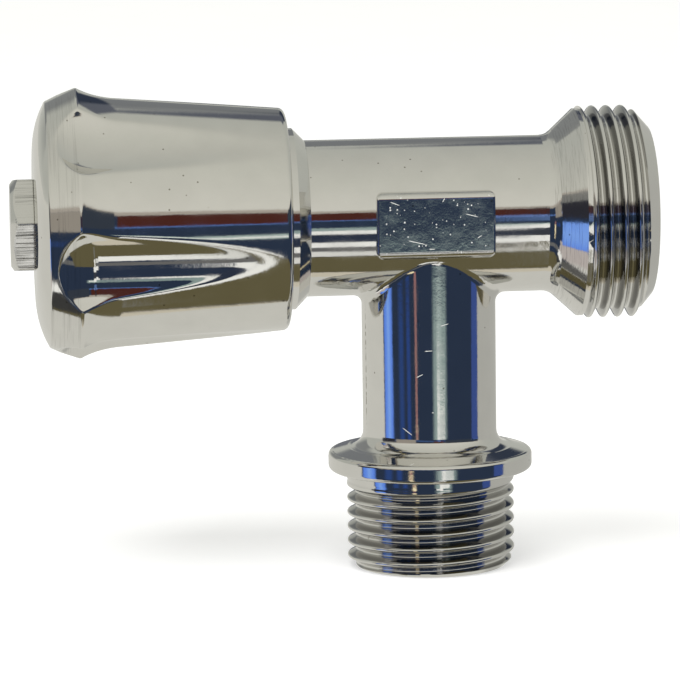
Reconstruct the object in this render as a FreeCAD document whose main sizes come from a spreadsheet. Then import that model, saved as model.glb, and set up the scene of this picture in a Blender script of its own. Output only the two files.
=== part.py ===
import FreeCAD, Part
import math
import os
import re
import Sketcher

# Washing machine stop valve: a chrome-plated brass tee with a screw-down headwork and a fluted handle.
# Origin: on the inlet axis, at the flange face that seats on the wall. +Z runs up the stem, +X runs out
# of the hose nipple, and the side with the raised panel looks along -Y. All lengths are in millimetres.

SIZES = [
    # Tee body: inlet nipple, flange and stem
    ("axis_height", 31.8),
    ("inlet_thread_diameter", 20.955),
    ("inlet_thread_length", 12.2),
    ("inlet_chamfer", 1.1),
    ("inlet_bore", 11.0),
    ("flange_overhang", 2.27),
    ("flange_thickness", 2.4),
    ("flange_edge_round", 0.6),
    ("flange_crown", 0.5),
    ("stem_wall", 2.86),
    ("stem_cove", 2.0),
    ("junction_round", 1.2),
    # Tee body: barrel, raised panel, seat and hose nipple
    ("chamber_diameter", 14.8),
    ("barrel_wall", 2.3),
    ("panel_width", 14.6),
    ("panel_height", 8.2),
    ("panel_rise", 0.5),
    ("panel_corner_round", 0.8),
    ("panel_edge_round", 0.3),
    ("seat_distance", 8.7),
    ("seat_lip_height", 0.6),
    ("seat_lip_width", 1.0),
    ("seat_bore", 10.0),
    ("seat_web", 2.8),
    ("outlet_reach", 27.6),
    ("outlet_bore", 15.2),
    ("outlet_thread_diameter", 26.441),
    ("outlet_thread_length", 6.3),
    ("outlet_chamfer_length", 2.3),
    ("outlet_face_width", 3.0),
    ("flare_neck_length", 0.6),
    ("flare_step", 0.3),
    ("flare_length", 3.5),
    ("flare_round", 2.2),
    # Tee body: grooves that stand for the turns of both pipe threads
    ("thread_pitch", 1.814),
    ("thread_depth", 1.162),
    ("thread_flank_angle", 27.5),
    ("thread_crest_land", 0.35),
    ("thread_runout", 1.8),
    # Tee body: collar that takes the headwork
    ("collar_reach", 20.0),
    ("collar_length", 3.2),
    ("collar_wall", 2.95),
    ("collar_cone_length", 1.5),
    ("bonnet_thread_diameter", 16.6),
    ("socket_depth", 9.0),
    # Headwork
    ("thread_clearance", 0.05),
    ("running_clearance", 0.1),
    ("bonnet_washer_thickness", 1.0),
    ("bonnet_washer_inset", 0.4),
    ("bonnet_hex_inset", 0.28),
    ("bonnet_hex_height", 5.5),
    ("bonnet_end_gap", 1.5),
    ("gland_neck_length", 8.0),
    ("gland_neck_wall", 1.0),
    ("gland_guide_length", 1.6),
    ("stuffing_box_depth", 5.9),
    ("packing_length", 2.4),
    ("packing_width", 2.0),
    ("follower_rise", 0.3),
    ("gland_nut_hex", 17.0),
    ("gland_nut_roof", 2.0),
    ("gland_nut_grip", 5.0),
    # Spindle
    ("spindle_diameter", 8.0),
    ("spindle_screw_diameter", 10.0),
    ("spindle_lift", 4.5),
    ("lift_margin", 0.5),
    ("spindle_square", 6.0),
    ("square_length", 8.0),
    ("square_clearance", 0.05),
    ("nut_to_hub_gap", 1.7),
    ("screw_diameter", 4.0),
    ("screw_length", 8.0),
    ("screw_hole_spare", 1.0),
    # Jumper with its washer
    ("washer_thickness", 3.95),
    ("washer_side_gap", 1.0),
    ("washer_seat_gap", 0.05),
    ("plate_thickness", 3.0),
    ("plate_overhang", 0.2),
    ("spindle_end_gap", 0.3),
    ("jumper_pin_diameter", 6.0),
    ("jumper_pin_length", 8.7),
    ("pin_end_gap", 1.0),
    ("ring_wire", 0.8),
    ("ring_split", 40.0),
    ("ring_inset", 2.0),
    ("ring_seat_depth", 0.45),
    ("stud_diameter", 4.0),
    ("stud_end", 0.4),
    ("nut_hex", 7.0),
    ("nut_height", 2.5),
    # Handle and its screw
    ("handle_phase", 44.5),
    ("skirt_reach", 17.7),
    ("skirt_gap", 0.6),
    ("skirt_wall", 1.95),
    ("skirt_edge_round", 0.8),
    ("waist_rise", 1.7),
    ("ridge_rise", 1.5),
    ("bevel_drop", 1.8),
    ("bevel_length", 3.8),
    ("flare_in_length", 5.0),
    ("flare_in_round", 12.0),
    ("end_crown", 1.6),
    ("end_flat_diameter", 18.0),
    ("handle_roof", 2.3),
    ("hub_diameter", 13.0),
    ("hub_rise", 6.0),
    ("flute_count", 6),
    ("flute_radius", 8.0),
    ("flute_floor_wall", 2.15),
    ("flute_inset", 7.5),
    ("screw_phase", 51.3),
    ("screw_head_hex", 11.1),
    ("screw_head_height", 2.9),
    ("screw_head_chamfer", 0.55),
]

doc = FreeCAD.newDocument("washing_machine_valve")
sheet = doc.addObject("Spreadsheet::Sheet", "Sizes")
for row, (alias, value) in enumerate(SIZES, start=1):
    sheet.set("A%d" % row, alias)
    sheet.set("B%d" % row, str(value))
    sheet.setAlias("B%d" % row, alias)
doc.recompute()

ALIASES = {alias for alias, value in SIZES}
PAST_FACE = 1.0


# Formulas, sketches and features

def formula(text):
    """Point every size named in the text at its cell in the sheet."""
    return re.sub(r"[a-z_]+", lambda word: "Sizes." + word[0] if word[0] in ALIASES else word[0], text)


def number(text):
    """Value of a formula at the sizes the sheet holds now."""
    return float(sheet.evalExpression(formula(text)))


def plane_of(body, role):
    return next(feature for feature in body.Origin.OriginFeatures if feature.Role == role)


def new_body(label, turn=None):
    """A body on the barrel axis, turned about that axis by the named angle."""
    body = doc.addObject("PartDesign::Body", label)
    body.Label = label
    if turn:
        body.Placement = FreeCAD.Placement(
            FreeCAD.Vector(0, 0, 0), FreeCAD.Rotation(FreeCAD.Vector(1, 0, 0), number(turn)))
        body.setExpression("Placement.Rotation.Angle", formula(turn + " * 1 deg"))
    body.setExpression("Placement.Base.z", formula("axis_height"))
    return body


def new_sketch(body, role, name, offset=("0", "0", "0")):
    """A sketch on one of the body's own planes, shifted across, up and out by three formulas."""
    sketch = body.newObject("Sketcher::SketchObject", name)
    sketch.AttachmentSupport = [(plane_of(body, role), "")]
    sketch.MapMode = "FlatFace"
    for axis, shift in zip("xyz", offset):
        if shift != "0":
            sketch.setExpression("AttachmentOffset.Base." + axis, formula(shift))
    return sketch


def bind(sketch, constraint, text):
    index = sketch.addConstraint(constraint)
    sketch.setExpression("Constraints[%d]" % index, formula(text))


def arc_between(start, end, radius, side):
    """Minor arc; side is +1 where its centre lies left of the way from start to end, -1 where right."""
    chord = end - start
    left = FreeCAD.Vector(-chord.y, chord.x, 0).normalize()
    rise = math.sqrt(max(radius ** 2 - (chord.Length / 2) ** 2, 0))
    centre = start + chord * 0.5 + left * (rise * side)
    first, last = (start, end) if side > 0 else (end, start)
    angles = [math.atan2(tip.y - centre.y, tip.x - centre.x) for tip in (first, last)]
    return Part.ArcOfCircle(Part.Circle(centre, FreeCAD.Vector(0, 0, 1), radius), *angles)


def outline(sketch, corners):
    """Closed outline. A corner is (across, up), or (across, up, radius, side) where an arc leads on."""
    spots = [FreeCAD.Vector(number(corner[0]), number(corner[1]), 0) for corner in corners]
    count = len(corners)
    first = sketch.GeometryCount
    ends = []
    for index, corner in enumerate(corners):
        start, end = spots[index], spots[(index + 1) % count]
        if len(corner) == 2:
            edge = sketch.addGeometry(Part.LineSegment(start, end), False)
            ends.append((edge, 1, 2))
            continue
        edge = sketch.addGeometry(arc_between(start, end, number(corner[2]), corner[3]), False)
        ends.append((edge, 1, 2) if corner[3] > 0 else (edge, 2, 1))
    for index in range(count):
        edge, start, end = ends[index]
        after, after_start, after_end = ends[(index + 1) % count]
        sketch.addConstraint(Sketcher.Constraint("Coincident", edge, end, after, after_start))
    for index, corner in enumerate(corners):
        edge, start, end = ends[index]
        bind(sketch, Sketcher.Constraint("DistanceX", -1, 1, edge, start, spots[index].x), corner[0])
        bind(sketch, Sketcher.Constraint("DistanceY", -1, 1, edge, start, spots[index].y), corner[1])
        if len(corner) == 4:
            bind(sketch, Sketcher.Constraint("Radius", edge, number(corner[2])), corner[2])
    return sketch


def circle(sketch, radius):
    edge = sketch.addGeometry(
        Part.Circle(FreeCAD.Vector(0, 0, 0), FreeCAD.Vector(0, 0, 1), number(radius)), False)
    sketch.addConstraint(Sketcher.Constraint("Coincident", edge, 3, -1, 1))
    bind(sketch, Sketcher.Constraint("Radius", edge, number(radius)), radius)


def regular(sketch, sides, across_flats):
    """Regular polygon about the sketch origin, by its size across flats, with a corner on the first axis."""
    reach = "%s / 2 / cos(180 deg / %d)" % (across_flats, sides)
    spokes = ["360 deg * %d / %d" % (side, sides) for side in range(sides)]
    return outline(sketch, [("%s * cos(%s)" % (reach, spoke), "%s * sin(%s)" % (reach, spoke))
                            for spoke in spokes])


def turned(body, name, corners, feature="PartDesign::Revolution", axis="H_Axis", offset=("0", "0", "0")):
    """Solid or cut of revolution about an axis of its sketch."""
    sketch = outline(new_sketch(body, "XZ_Plane", name + "_outline", offset), corners)
    solid = body.newObject(feature, name)
    solid.Profile = sketch
    solid.ReferenceAxis = (sketch, [axis])
    solid.Angle = 360
    doc.recompute()
    return solid


def bored(body, name, corners, axis="H_Axis", offset=("0", "0", "0")):
    return turned(body, name, corners, "PartDesign::Groove", axis, offset)


def extruded(body, name, sketch, length, feature="PartDesign::Pad", back=False):
    """Prism from a sketch; back sends it against the sketch's normal."""
    solid = body.newObject(feature, name)
    solid.Profile = sketch
    solid.setExpression("Length", formula(length))
    solid.Reversed = back
    doc.recompute()
    return solid


def rounded(body, name, edges, radius):
    """Fillet on the edges of the body's last feature that a test picks out."""
    base = body.Tip
    names = ["Edge%d" % (index + 1) for index, edge in enumerate(base.Shape.Edges) if edges(edge)]
    fillet = body.newObject("PartDesign::Fillet", name)
    fillet.Base = (base, names)
    fillet.setExpression("Radius", formula(radius))
    doc.recompute()
    return fillet


def ring(label, inner, outer, right, left):
    """Flat ring on the barrel axis between two places left of the stem axis."""
    body = new_body(label)
    turned(body, label + "_ring", [("-(%s)" % left, inner), ("-(%s)" % left, outer),
                                   ("-(%s)" % right, outer), ("-(%s)" % right, inner)])
    return body


def row_of(body, name, feature, role, count, spacing, back=False):
    """Repeat a feature along one of the body's own axes; back runs it against the axis."""
    pattern = body.newObject("PartDesign::LinearPattern", name)
    pattern.Originals = [feature]
    pattern.Direction = (plane_of(body, role), [""])
    pattern.Reversed = back
    pattern.setExpression("Length", formula("%s * (%s - 1)" % (spacing, count)))
    pattern.setExpression("Occurrences", formula(count))
    body.Tip = pattern
    doc.recompute()
    return pattern


def groove_section(last_land, way, radius):
    """Corners (along, radius) of the thread groove next to the land that ends the thread."""
    half_mouth = "(thread_pitch - thread_crest_land) / 2"
    half_root = "(%s - thread_depth * tan(thread_flank_angle * 1 deg))" % half_mouth
    middle = "%s %s (thread_crest_land + %s)" % (last_land, way, half_mouth)
    depths = ["%s + %g" % (radius, PAST_FACE), radius, "%s - thread_depth" % radius]
    widths = [half_mouth, half_mouth, half_root]
    left = [("%s - %s" % (middle, width), depth) for width, depth in zip(widths, depths)]
    right = [("%s + %s" % (middle, width), depth) for width, depth in zip(widths, depths)]
    return left + right[::-1]


def block(left, right, radius):
    """Corners of a plain turned length from the axis out to a radius."""
    return [(left, "0"), (left, radius), (right, radius), (right, "0")]


# Places that several pieces share. Those whose names end in _at are distances left of the stem axis.

barrel_r = "(chamber_diameter / 2 + barrel_wall)"
stem_r = "(inlet_bore / 2 + stem_wall)"
socket_r = "(bonnet_thread_diameter / 2)"
collar_r = "(bonnet_thread_diameter / 2 + collar_wall)"
flange_r = "(inlet_thread_diameter / 2 + flange_overhang)"
inlet_end = "(-axis_height - inlet_thread_length)"
outlet_r = "(outlet_thread_diameter / 2)"

bonnet_face_at = "(collar_reach + bonnet_washer_thickness)"
bonnet_hex_at = "(%s + bonnet_hex_height)" % bonnet_face_at
neck_end_at = "(%s + gland_neck_length)" % bonnet_hex_at
box_floor_at = "(%s - stuffing_box_depth)" % neck_end_at
guide_floor_at = "(%s - gland_guide_length)" % box_floor_at
packing_end_at = "(%s + packing_length)" % box_floor_at
nut_roof_at = "(%s + follower_rise)" % neck_end_at
nut_end_at = "(%s + gland_nut_roof)" % nut_roof_at
shoulder_at = "(%s + nut_to_hub_gap)" % nut_end_at
spindle_end_at = "(%s + square_length)" % shoulder_at
handle_end_at = "(%s + running_clearance + handle_roof)" % spindle_end_at
screw_shoulder_at = "(%s - lift_margin - spindle_lift)" % guide_floor_at

box_r = "(spindle_diameter / 2 + packing_width)"
neck_r = "(%s + gland_neck_wall)" % box_r
bonnet_corner_r = "(%s - bonnet_hex_inset)" % collar_r

washer_face = "(seat_distance - washer_seat_gap)"
washer_back = "(%s - washer_thickness)" % washer_face
plate_back = "(%s - plate_thickness)" % washer_back
spindle_tip = "(%s - spindle_end_gap)" % plate_back
pin_end = "(%s - jumper_pin_length)" % plate_back
ring_place = "(%s + ring_inset)" % pin_end
washer_r = "(chamber_diameter / 2 - washer_side_gap)"
ring_r = "(jumper_pin_diameter / 2 + thread_clearance - ring_wire / 8)"


# Tee body: one forging, bored through from its three ends

def make_valve_body():
    body = new_body("valve_body")
    cone_at = "(collar_reach - collar_length)"
    flare_end = "(outlet_reach - outlet_chamfer_length - outlet_thread_length)"
    crest_start = "(%s - flare_neck_length)" % flare_end
    crest_r = "(%s - flare_step)" % outlet_r
    turned(body, "barrel", [
        ("-collar_reach", "0"),
        ("-collar_reach", collar_r),
        ("-" + cone_at, collar_r),
        ("-(%s - collar_cone_length)" % cone_at, barrel_r),
        ("%s - flare_length" % crest_start, barrel_r),
        (crest_start, crest_r),
        (flare_end, crest_r),
        (flare_end, outlet_r),
        ("outlet_reach - outlet_chamfer_length", outlet_r),
        ("outlet_reach", "outlet_bore / 2 + outlet_face_width"),
        ("outlet_reach", "0"),
    ])
    flange_top = "(-axis_height + flange_thickness)"
    turned(body, "stem", [
        ("0", inlet_end),
        ("inlet_thread_diameter / 2 - inlet_chamfer", inlet_end),
        ("inlet_thread_diameter / 2", inlet_end + " + inlet_chamfer"),
        ("inlet_thread_diameter / 2", "-axis_height"),
        (flange_r + " - flange_edge_round", "-axis_height", "flange_edge_round", 1),
        (flange_r, "-axis_height + flange_edge_round"),
        (flange_r, flange_top + " - flange_edge_round", "flange_edge_round", 1),
        (flange_r + " - flange_edge_round", flange_top),
        (stem_r + " + stem_cove", flange_top + " + flange_crown", "stem_cove", -1),
        (stem_r, flange_top + " + flange_crown + stem_cove"),
        (stem_r, "0"),
        ("0", "0"),
    ], axis="V_Axis")
    panel = outline(new_sketch(body, "XZ_Plane", "panel_outline"), [
        ("-panel_width / 2", "-panel_height / 2"),
        ("panel_width / 2", "-panel_height / 2"),
        ("panel_width / 2", "panel_height / 2"),
        ("-panel_width / 2", "panel_height / 2"),
    ])
    extruded(body, "panel", panel, barrel_r + " + panel_rise")

    panel_y = -number(barrel_r + " + panel_rise")
    barrel_radius = number(barrel_r)
    stem_radius = number(stem_r)
    half_width = number("panel_width / 2")

    def is_panel_corner(edge):
        line = isinstance(edge.Curve, Part.Line) and abs(edge.tangentAt(edge.FirstParameter).y) > 0.99
        return line and abs(abs(edge.CenterOfMass.x) - half_width) < 1e-3

    def is_panel_rim(edge):
        return abs(edge.BoundBox.YMin - panel_y) < 1e-4 and abs(edge.BoundBox.YMax - panel_y) < 1e-4

    def is_stem_junction(edge):
        spots = [edge.valueAt(edge.getParameterByLength(edge.Length * share)) for share in (0.2, 0.5, 0.8)]
        on_stem = all(abs(math.hypot(spot.x, spot.y) - stem_radius) < 1e-3 for spot in spots)
        on_barrel = all(abs(math.hypot(spot.y, spot.z) - barrel_radius) < 1e-3 for spot in spots)
        return on_stem and on_barrel

    def is_flare_foot(edge):
        foot = number("%s - flare_length" % crest_start)
        return abs(edge.BoundBox.XMin - foot) < 1e-4 and abs(edge.BoundBox.XMax - foot) < 1e-4

    rounded(body, "panel_corners", is_panel_corner, "panel_corner_round")
    rounded(body, "panel_rim", is_panel_rim, "panel_edge_round")
    rounded(body, "stem_junction", is_stem_junction, "junction_round")
    rounded(body, "flare_foot", is_flare_foot, "flare_round")

    groove = bored(body, "outlet_groove", groove_section("outlet_reach - outlet_chamfer_length", "-", outlet_r))
    turns = "floor(outlet_thread_length / thread_pitch)"
    row_of(body, "outlet_grooves", groove, "X_Axis", turns, "thread_pitch", back=True)
    section = groove_section("(%s + inlet_chamfer)" % inlet_end, "+", "inlet_thread_diameter / 2")
    groove = bored(body, "inlet_groove", [(radius, along) for along, radius in section], axis="V_Axis")
    turns = "floor((inlet_thread_length - inlet_chamfer - thread_runout) / thread_pitch)"
    row_of(body, "inlet_grooves", groove, "Z_Axis", turns, "thread_pitch")

    lip_r = "seat_bore / 2 + seat_lip_width"
    web_end = "seat_distance + seat_lip_height + seat_web"
    bored(body, "waterway", [
        ("-collar_reach - %g" % PAST_FACE, "0"),
        ("-collar_reach - %g" % PAST_FACE, socket_r),
        ("-(collar_reach - socket_depth)", socket_r),
        ("-(collar_reach - socket_depth)", "chamber_diameter / 2"),
        ("seat_distance + seat_lip_height", "chamber_diameter / 2"),
        ("seat_distance + seat_lip_height", lip_r),
        ("seat_distance", lip_r),
        ("seat_distance", "seat_bore / 2"),
        (web_end, "seat_bore / 2"),
        (web_end, "outlet_bore / 2"),
        ("outlet_reach + %g" % PAST_FACE, "outlet_bore / 2"),
        ("outlet_reach + %g" % PAST_FACE, "0"),
    ])
    bored(body, "inlet", [
        ("0", "%s - %g" % (inlet_end, PAST_FACE)),
        ("inlet_bore / 2", "%s - %g" % (inlet_end, PAST_FACE)),
        ("inlet_bore / 2", "0"),
        ("0", "0"),
    ], axis="V_Axis")
    return body


# Headwork: bonnet screwed into the collar, with the gland that seals the spindle

def make_bonnet():
    body = new_body("bonnet")
    bonnet_end = "-(collar_reach - socket_depth + bonnet_end_gap)"
    thread_r = socket_r + " - thread_clearance"
    turned(body, "shank", [
        ("-" + neck_end_at, "0"),
        ("-" + neck_end_at, neck_r),
        ("-" + bonnet_face_at, neck_r),
        ("-" + bonnet_face_at, thread_r),
        (bonnet_end, thread_r),
        (bonnet_end, "0"),
    ])
    hexagon = regular(new_sketch(body, "YZ_Plane", "bonnet_hexagon", ("0", "0", "-" + bonnet_hex_at)),
                      6, "(2 * %s * cos(30 deg))" % bonnet_corner_r)
    extruded(body, "bonnet_hex_flange", hexagon, "bonnet_hex_height")
    bored(body, "spindle_way", [
        ("-%s - %g" % (neck_end_at, PAST_FACE), "0"),
        ("-%s - %g" % (neck_end_at, PAST_FACE), box_r),
        ("-" + box_floor_at, box_r),
        ("-" + box_floor_at, "spindle_diameter / 2 + running_clearance"),
        ("-" + guide_floor_at, "spindle_diameter / 2 + running_clearance"),
        ("-" + guide_floor_at, "spindle_screw_diameter / 2 + thread_clearance"),
        ("%s + %g" % (bonnet_end, PAST_FACE), "spindle_screw_diameter / 2 + thread_clearance"),
        ("%s + %g" % (bonnet_end, PAST_FACE), "0"),
    ])
    return body


def make_bonnet_washer():
    return ring("bonnet_washer", socket_r + " + thread_clearance", collar_r + " - bonnet_washer_inset",
                "collar_reach", bonnet_face_at)


def make_gland_packing():
    return ring("gland_packing", "spindle_diameter / 2 + thread_clearance", box_r + " - thread_clearance",
                box_floor_at, packing_end_at)


def make_gland_ring():
    return ring("gland_ring", "spindle_diameter / 2 + running_clearance", box_r + " - thread_clearance",
                packing_end_at, nut_roof_at)


def make_gland_nut():
    body = new_body("gland_nut")
    hexagon = regular(new_sketch(body, "YZ_Plane", "gland_nut_hexagon", ("0", "0", "-" + nut_end_at)),
                      6, "gland_nut_hex")
    mouth = "-(%s - gland_nut_grip)" % nut_roof_at
    extruded(body, "gland_nut_hexagon_bar", hexagon, "gland_nut_roof + gland_nut_grip")
    bored(body, "gland_nut_bore", [
        ("-%s - %g" % (nut_end_at, PAST_FACE), "0"),
        ("-%s - %g" % (nut_end_at, PAST_FACE), "spindle_diameter / 2 + 2 * running_clearance"),
        ("-" + nut_roof_at, "spindle_diameter / 2 + 2 * running_clearance"),
        ("-" + nut_roof_at, neck_r + " + thread_clearance"),
        ("%s + %g" % (mouth, PAST_FACE), neck_r + " + thread_clearance"),
        ("%s + %g" % (mouth, PAST_FACE), "0"),
    ])
    return body


# Spindle: rising screw with a squared end for the handle and a socket for the jumper

def make_spindle():
    body = new_body("spindle", "handle_phase")
    socket_bore = "jumper_pin_diameter / 2 + thread_clearance"
    ring_seat = socket_bore + " + ring_seat_depth"
    half_slot = "(ring_wire / 2 + running_clearance)"
    turned(body, "spindle_bar", [
        ("-" + spindle_end_at, "0"),
        ("-" + spindle_end_at, "spindle_diameter / 2"),
        ("-" + screw_shoulder_at, "spindle_diameter / 2"),
        ("-" + screw_shoulder_at, "spindle_screw_diameter / 2"),
        (spindle_tip, "spindle_screw_diameter / 2"),
        (spindle_tip, "0"),
    ])
    flats = regular(new_sketch(body, "YZ_Plane", "square_flats", ("0", "0", "-" + shoulder_at)),
                    4, "spindle_square")
    circle(flats, "spindle_diameter")
    extruded(body, "square", flats, "square_length + %g" % PAST_FACE, "PartDesign::Pocket")
    bored(body, "screw_hole", block(
        "-%s - %g" % (spindle_end_at, PAST_FACE),
        "-(%s - screw_length - screw_hole_spare)" % handle_end_at,
        "screw_diameter / 2 + thread_clearance"))
    bored(body, "jumper_socket", [
        (pin_end + " - pin_end_gap", "0"),
        (pin_end + " - pin_end_gap", socket_bore),
        ("%s - %s" % (ring_place, half_slot), socket_bore),
        ("%s - %s" % (ring_place, half_slot), ring_seat),
        ("%s + %s" % (ring_place, half_slot), ring_seat),
        ("%s + %s" % (ring_place, half_slot), socket_bore),
        ("%s + %g" % (spindle_tip, PAST_FACE), socket_bore),
        ("%s + %g" % (spindle_tip, PAST_FACE), "0"),
    ])
    return body


# Jumper: the plate that carries the seat washer, held in the spindle by a split ring

def make_jumper():
    body = new_body("jumper")
    stud_tip = washer_face + " + nut_height + stud_end"
    groove_r = "%s - ring_wire / 2 - thread_clearance" % ring_r
    half_slot = "(ring_wire / 2 + thread_clearance)"
    turned(body, "jumper_bar", [
        (pin_end, "0"),
        (pin_end, "jumper_pin_diameter / 2"),
        ("%s - %s" % (ring_place, half_slot), "jumper_pin_diameter / 2"),
        ("%s - %s" % (ring_place, half_slot), groove_r),
        ("%s + %s" % (ring_place, half_slot), groove_r),
        ("%s + %s" % (ring_place, half_slot), "jumper_pin_diameter / 2"),
        (plate_back, "jumper_pin_diameter / 2"),
        (plate_back, washer_r + " + plate_overhang"),
        (washer_back, washer_r + " + plate_overhang"),
        (washer_back, "stud_diameter / 2"),
        (stud_tip, "stud_diameter / 2"),
        (stud_tip, "0"),
    ])
    return body


def make_jumper_washer():
    return ring("jumper_washer", "stud_diameter / 2 + thread_clearance", washer_r,
                "-" + washer_face, "-" + washer_back)


def make_washer_nut():
    body = new_body("washer_nut")
    hexagon = regular(new_sketch(body, "YZ_Plane", "washer_nut_hexagon", ("0", "0", washer_face)),
                      6, "nut_hex")
    circle(hexagon, "stud_diameter / 2 + thread_clearance")
    extruded(body, "washer_nut_bar", hexagon, "nut_height")
    return body


def make_jumper_ring():
    wire = doc.addObject("Part::Torus", "jumper_ring")
    wire.Label = "jumper_ring"
    wire.setExpression("Radius1", formula(ring_r))
    wire.setExpression("Radius2", formula("ring_wire / 2"))
    wire.setExpression("Angle3", formula("360 deg - ring_split * 1 deg"))
    wire.Placement = FreeCAD.Placement(
        FreeCAD.Vector(0, 0, 0), FreeCAD.Rotation(FreeCAD.Vector(0, 1, 0), 90))
    wire.setExpression("Placement.Base.x", formula(ring_place))
    wire.setExpression("Placement.Base.z", formula("axis_height"))
    doc.recompute()
    return wire


# Handle: a hollow casting with a bevelled end, a ridge, a tapered skirt and scooped flutes

def make_handle():
    body = new_body("handle", "handle_phase")
    cavity_r = "(%s + skirt_gap)" % collar_r
    base_r = "(%s + skirt_wall)" % cavity_r
    waist_r = "(%s + waist_rise)" % base_r
    ridge_r = "(%s + ridge_rise)" % waist_r
    corner_r = "(%s - bevel_drop)" % ridge_r
    corner_at = "(%s - end_crown)" % handle_end_at
    ridge_at = "(%s - bevel_length)" % corner_at
    waist_at = "(%s - flare_in_length)" % ridge_at
    crown_width = "(%s - end_flat_diameter / 2)" % corner_r
    cavity_at = "(%s + hub_rise)" % shoulder_at
    turned(body, "handle_shell", [
        ("-" + handle_end_at, "0"),
        ("-" + handle_end_at, "end_flat_diameter / 2",
         "(%s^2 + end_crown^2) / (2 * end_crown)" % crown_width, -1),
        ("-" + corner_at, corner_r),
        ("-" + ridge_at, ridge_r, "flare_in_round", 1),
        ("-" + waist_at, waist_r),
        ("-skirt_reach - skirt_edge_round", base_r, "skirt_edge_round", -1),
        ("-skirt_reach", base_r + " - skirt_edge_round"),
        ("-skirt_reach", cavity_r),
        ("-" + cavity_at, cavity_r),
        ("-" + cavity_at, "hub_diameter / 2"),
        ("-" + shoulder_at, "hub_diameter / 2"),
        ("-" + shoulder_at, "0"),
    ])
    flute_axis_r = "(%s + flute_floor_wall + flute_radius)" % cavity_r
    flute_length = "%s - flute_inset - skirt_reach + %g" % (handle_end_at, PAST_FACE)
    flute = bored(body, "flute", [
        ("-flute_radius", "0", "flute_radius", 1),
        ("0", "-flute_radius"),
        (flute_length, "-flute_radius"),
        (flute_length, "0"),
    ], offset=("-(%s - flute_inset)" % handle_end_at, flute_axis_r, "0"))
    pattern = body.newObject("PartDesign::PolarPattern", "flutes")
    pattern.Originals = [flute]
    pattern.Axis = (plane_of(body, "X_Axis"), [""])
    pattern.Angle = 360
    pattern.setExpression("Occurrences", formula("flute_count"))
    body.Tip = pattern
    doc.recompute()
    hole = regular(new_sketch(body, "YZ_Plane", "square_hole_outline", ("0", "0", "-" + shoulder_at)),
                   4, "(spindle_square + 2 * square_clearance)")
    extruded(body, "square_hole", hole, "square_length + running_clearance", "PartDesign::Pocket")
    bored(body, "screw_way", block(
        "-%s - %g" % (handle_end_at, PAST_FACE), "-" + spindle_end_at,
        "screw_diameter / 2 + running_clearance"))
    return body


def make_handle_screw():
    body = new_body("handle_screw", "screw_phase")
    hexagon = regular(new_sketch(body, "YZ_Plane", "screw_hexagon", ("0", "0", "-" + handle_end_at)),
                      6, "screw_head_hex")
    extruded(body, "screw_head", hexagon, "screw_head_height", back=True)
    turned(body, "screw_shank", block(
        "-" + handle_end_at, "-(%s - screw_length)" % handle_end_at, "screw_diameter / 2"))
    corner_r = "screw_head_hex / 2 / cos(30 deg)"
    head_end = "-(%s + screw_head_height)" % handle_end_at
    bored(body, "head_chamfer", [
        (head_end + " - %g" % PAST_FACE, "screw_head_hex / 2 - screw_head_chamfer"),
        (head_end, "screw_head_hex / 2 - screw_head_chamfer"),
        (head_end + " + screw_head_chamfer", "%s + %g" % (corner_r, PAST_FACE)),
        (head_end + " - %g" % PAST_FACE, "%s + %g" % (corner_r, PAST_FACE)),
    ])
    return body


pieces = [make() for make in (
    make_valve_body, make_bonnet, make_bonnet_washer, make_gland_packing, make_gland_ring, make_gland_nut,
    make_spindle, make_jumper, make_jumper_washer, make_washer_nut, make_jumper_ring,
    make_handle, make_handle_screw)]
doc.recompute()

for item in doc.Objects:
    if "Invalid" in item.State or "Error" in item.State:
        raise RuntimeError("%s did not build: %s" % (item.Name, item.State))
for piece in pieces:
    if piece.Shape.isNull() or not piece.Shape.isValid() or len(piece.Shape.Solids) != 1:
        raise RuntimeError("%s is not one sound solid" % piece.Label)

os.makedirs("parts", exist_ok=True)
for piece in pieces:
    piece.Shape.exportStep("parts/%s.step" % piece.Label)
    box = piece.Shape.BoundBox
    print("%-14s %8.1f mm3  X %6.2f %6.2f  Y %6.2f %6.2f  Z %6.2f %6.2f" % (
        piece.Label, piece.Shape.Volume, box.XMin, box.XMax, box.YMin, box.YMax, box.ZMin, box.ZMax))
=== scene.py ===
# %% [markdown]
# # A chrome stop valve for a washing machine
# The valve is a forged brass tee under chrome plate. A fluted handle on the left screws a rubber washer onto
# its seat, a hose screws onto the wide thread on the right, and the narrow thread below goes into the wall.
# The solid model gives every size. This lesson makes the pieces that show: real screw threads, a handle
# with softened flutes, a crisp hexagon screw, and finishes for all of them.

# %% Load the solid model
import math

import bpy
import numpy as np
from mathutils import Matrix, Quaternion, Vector


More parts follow.
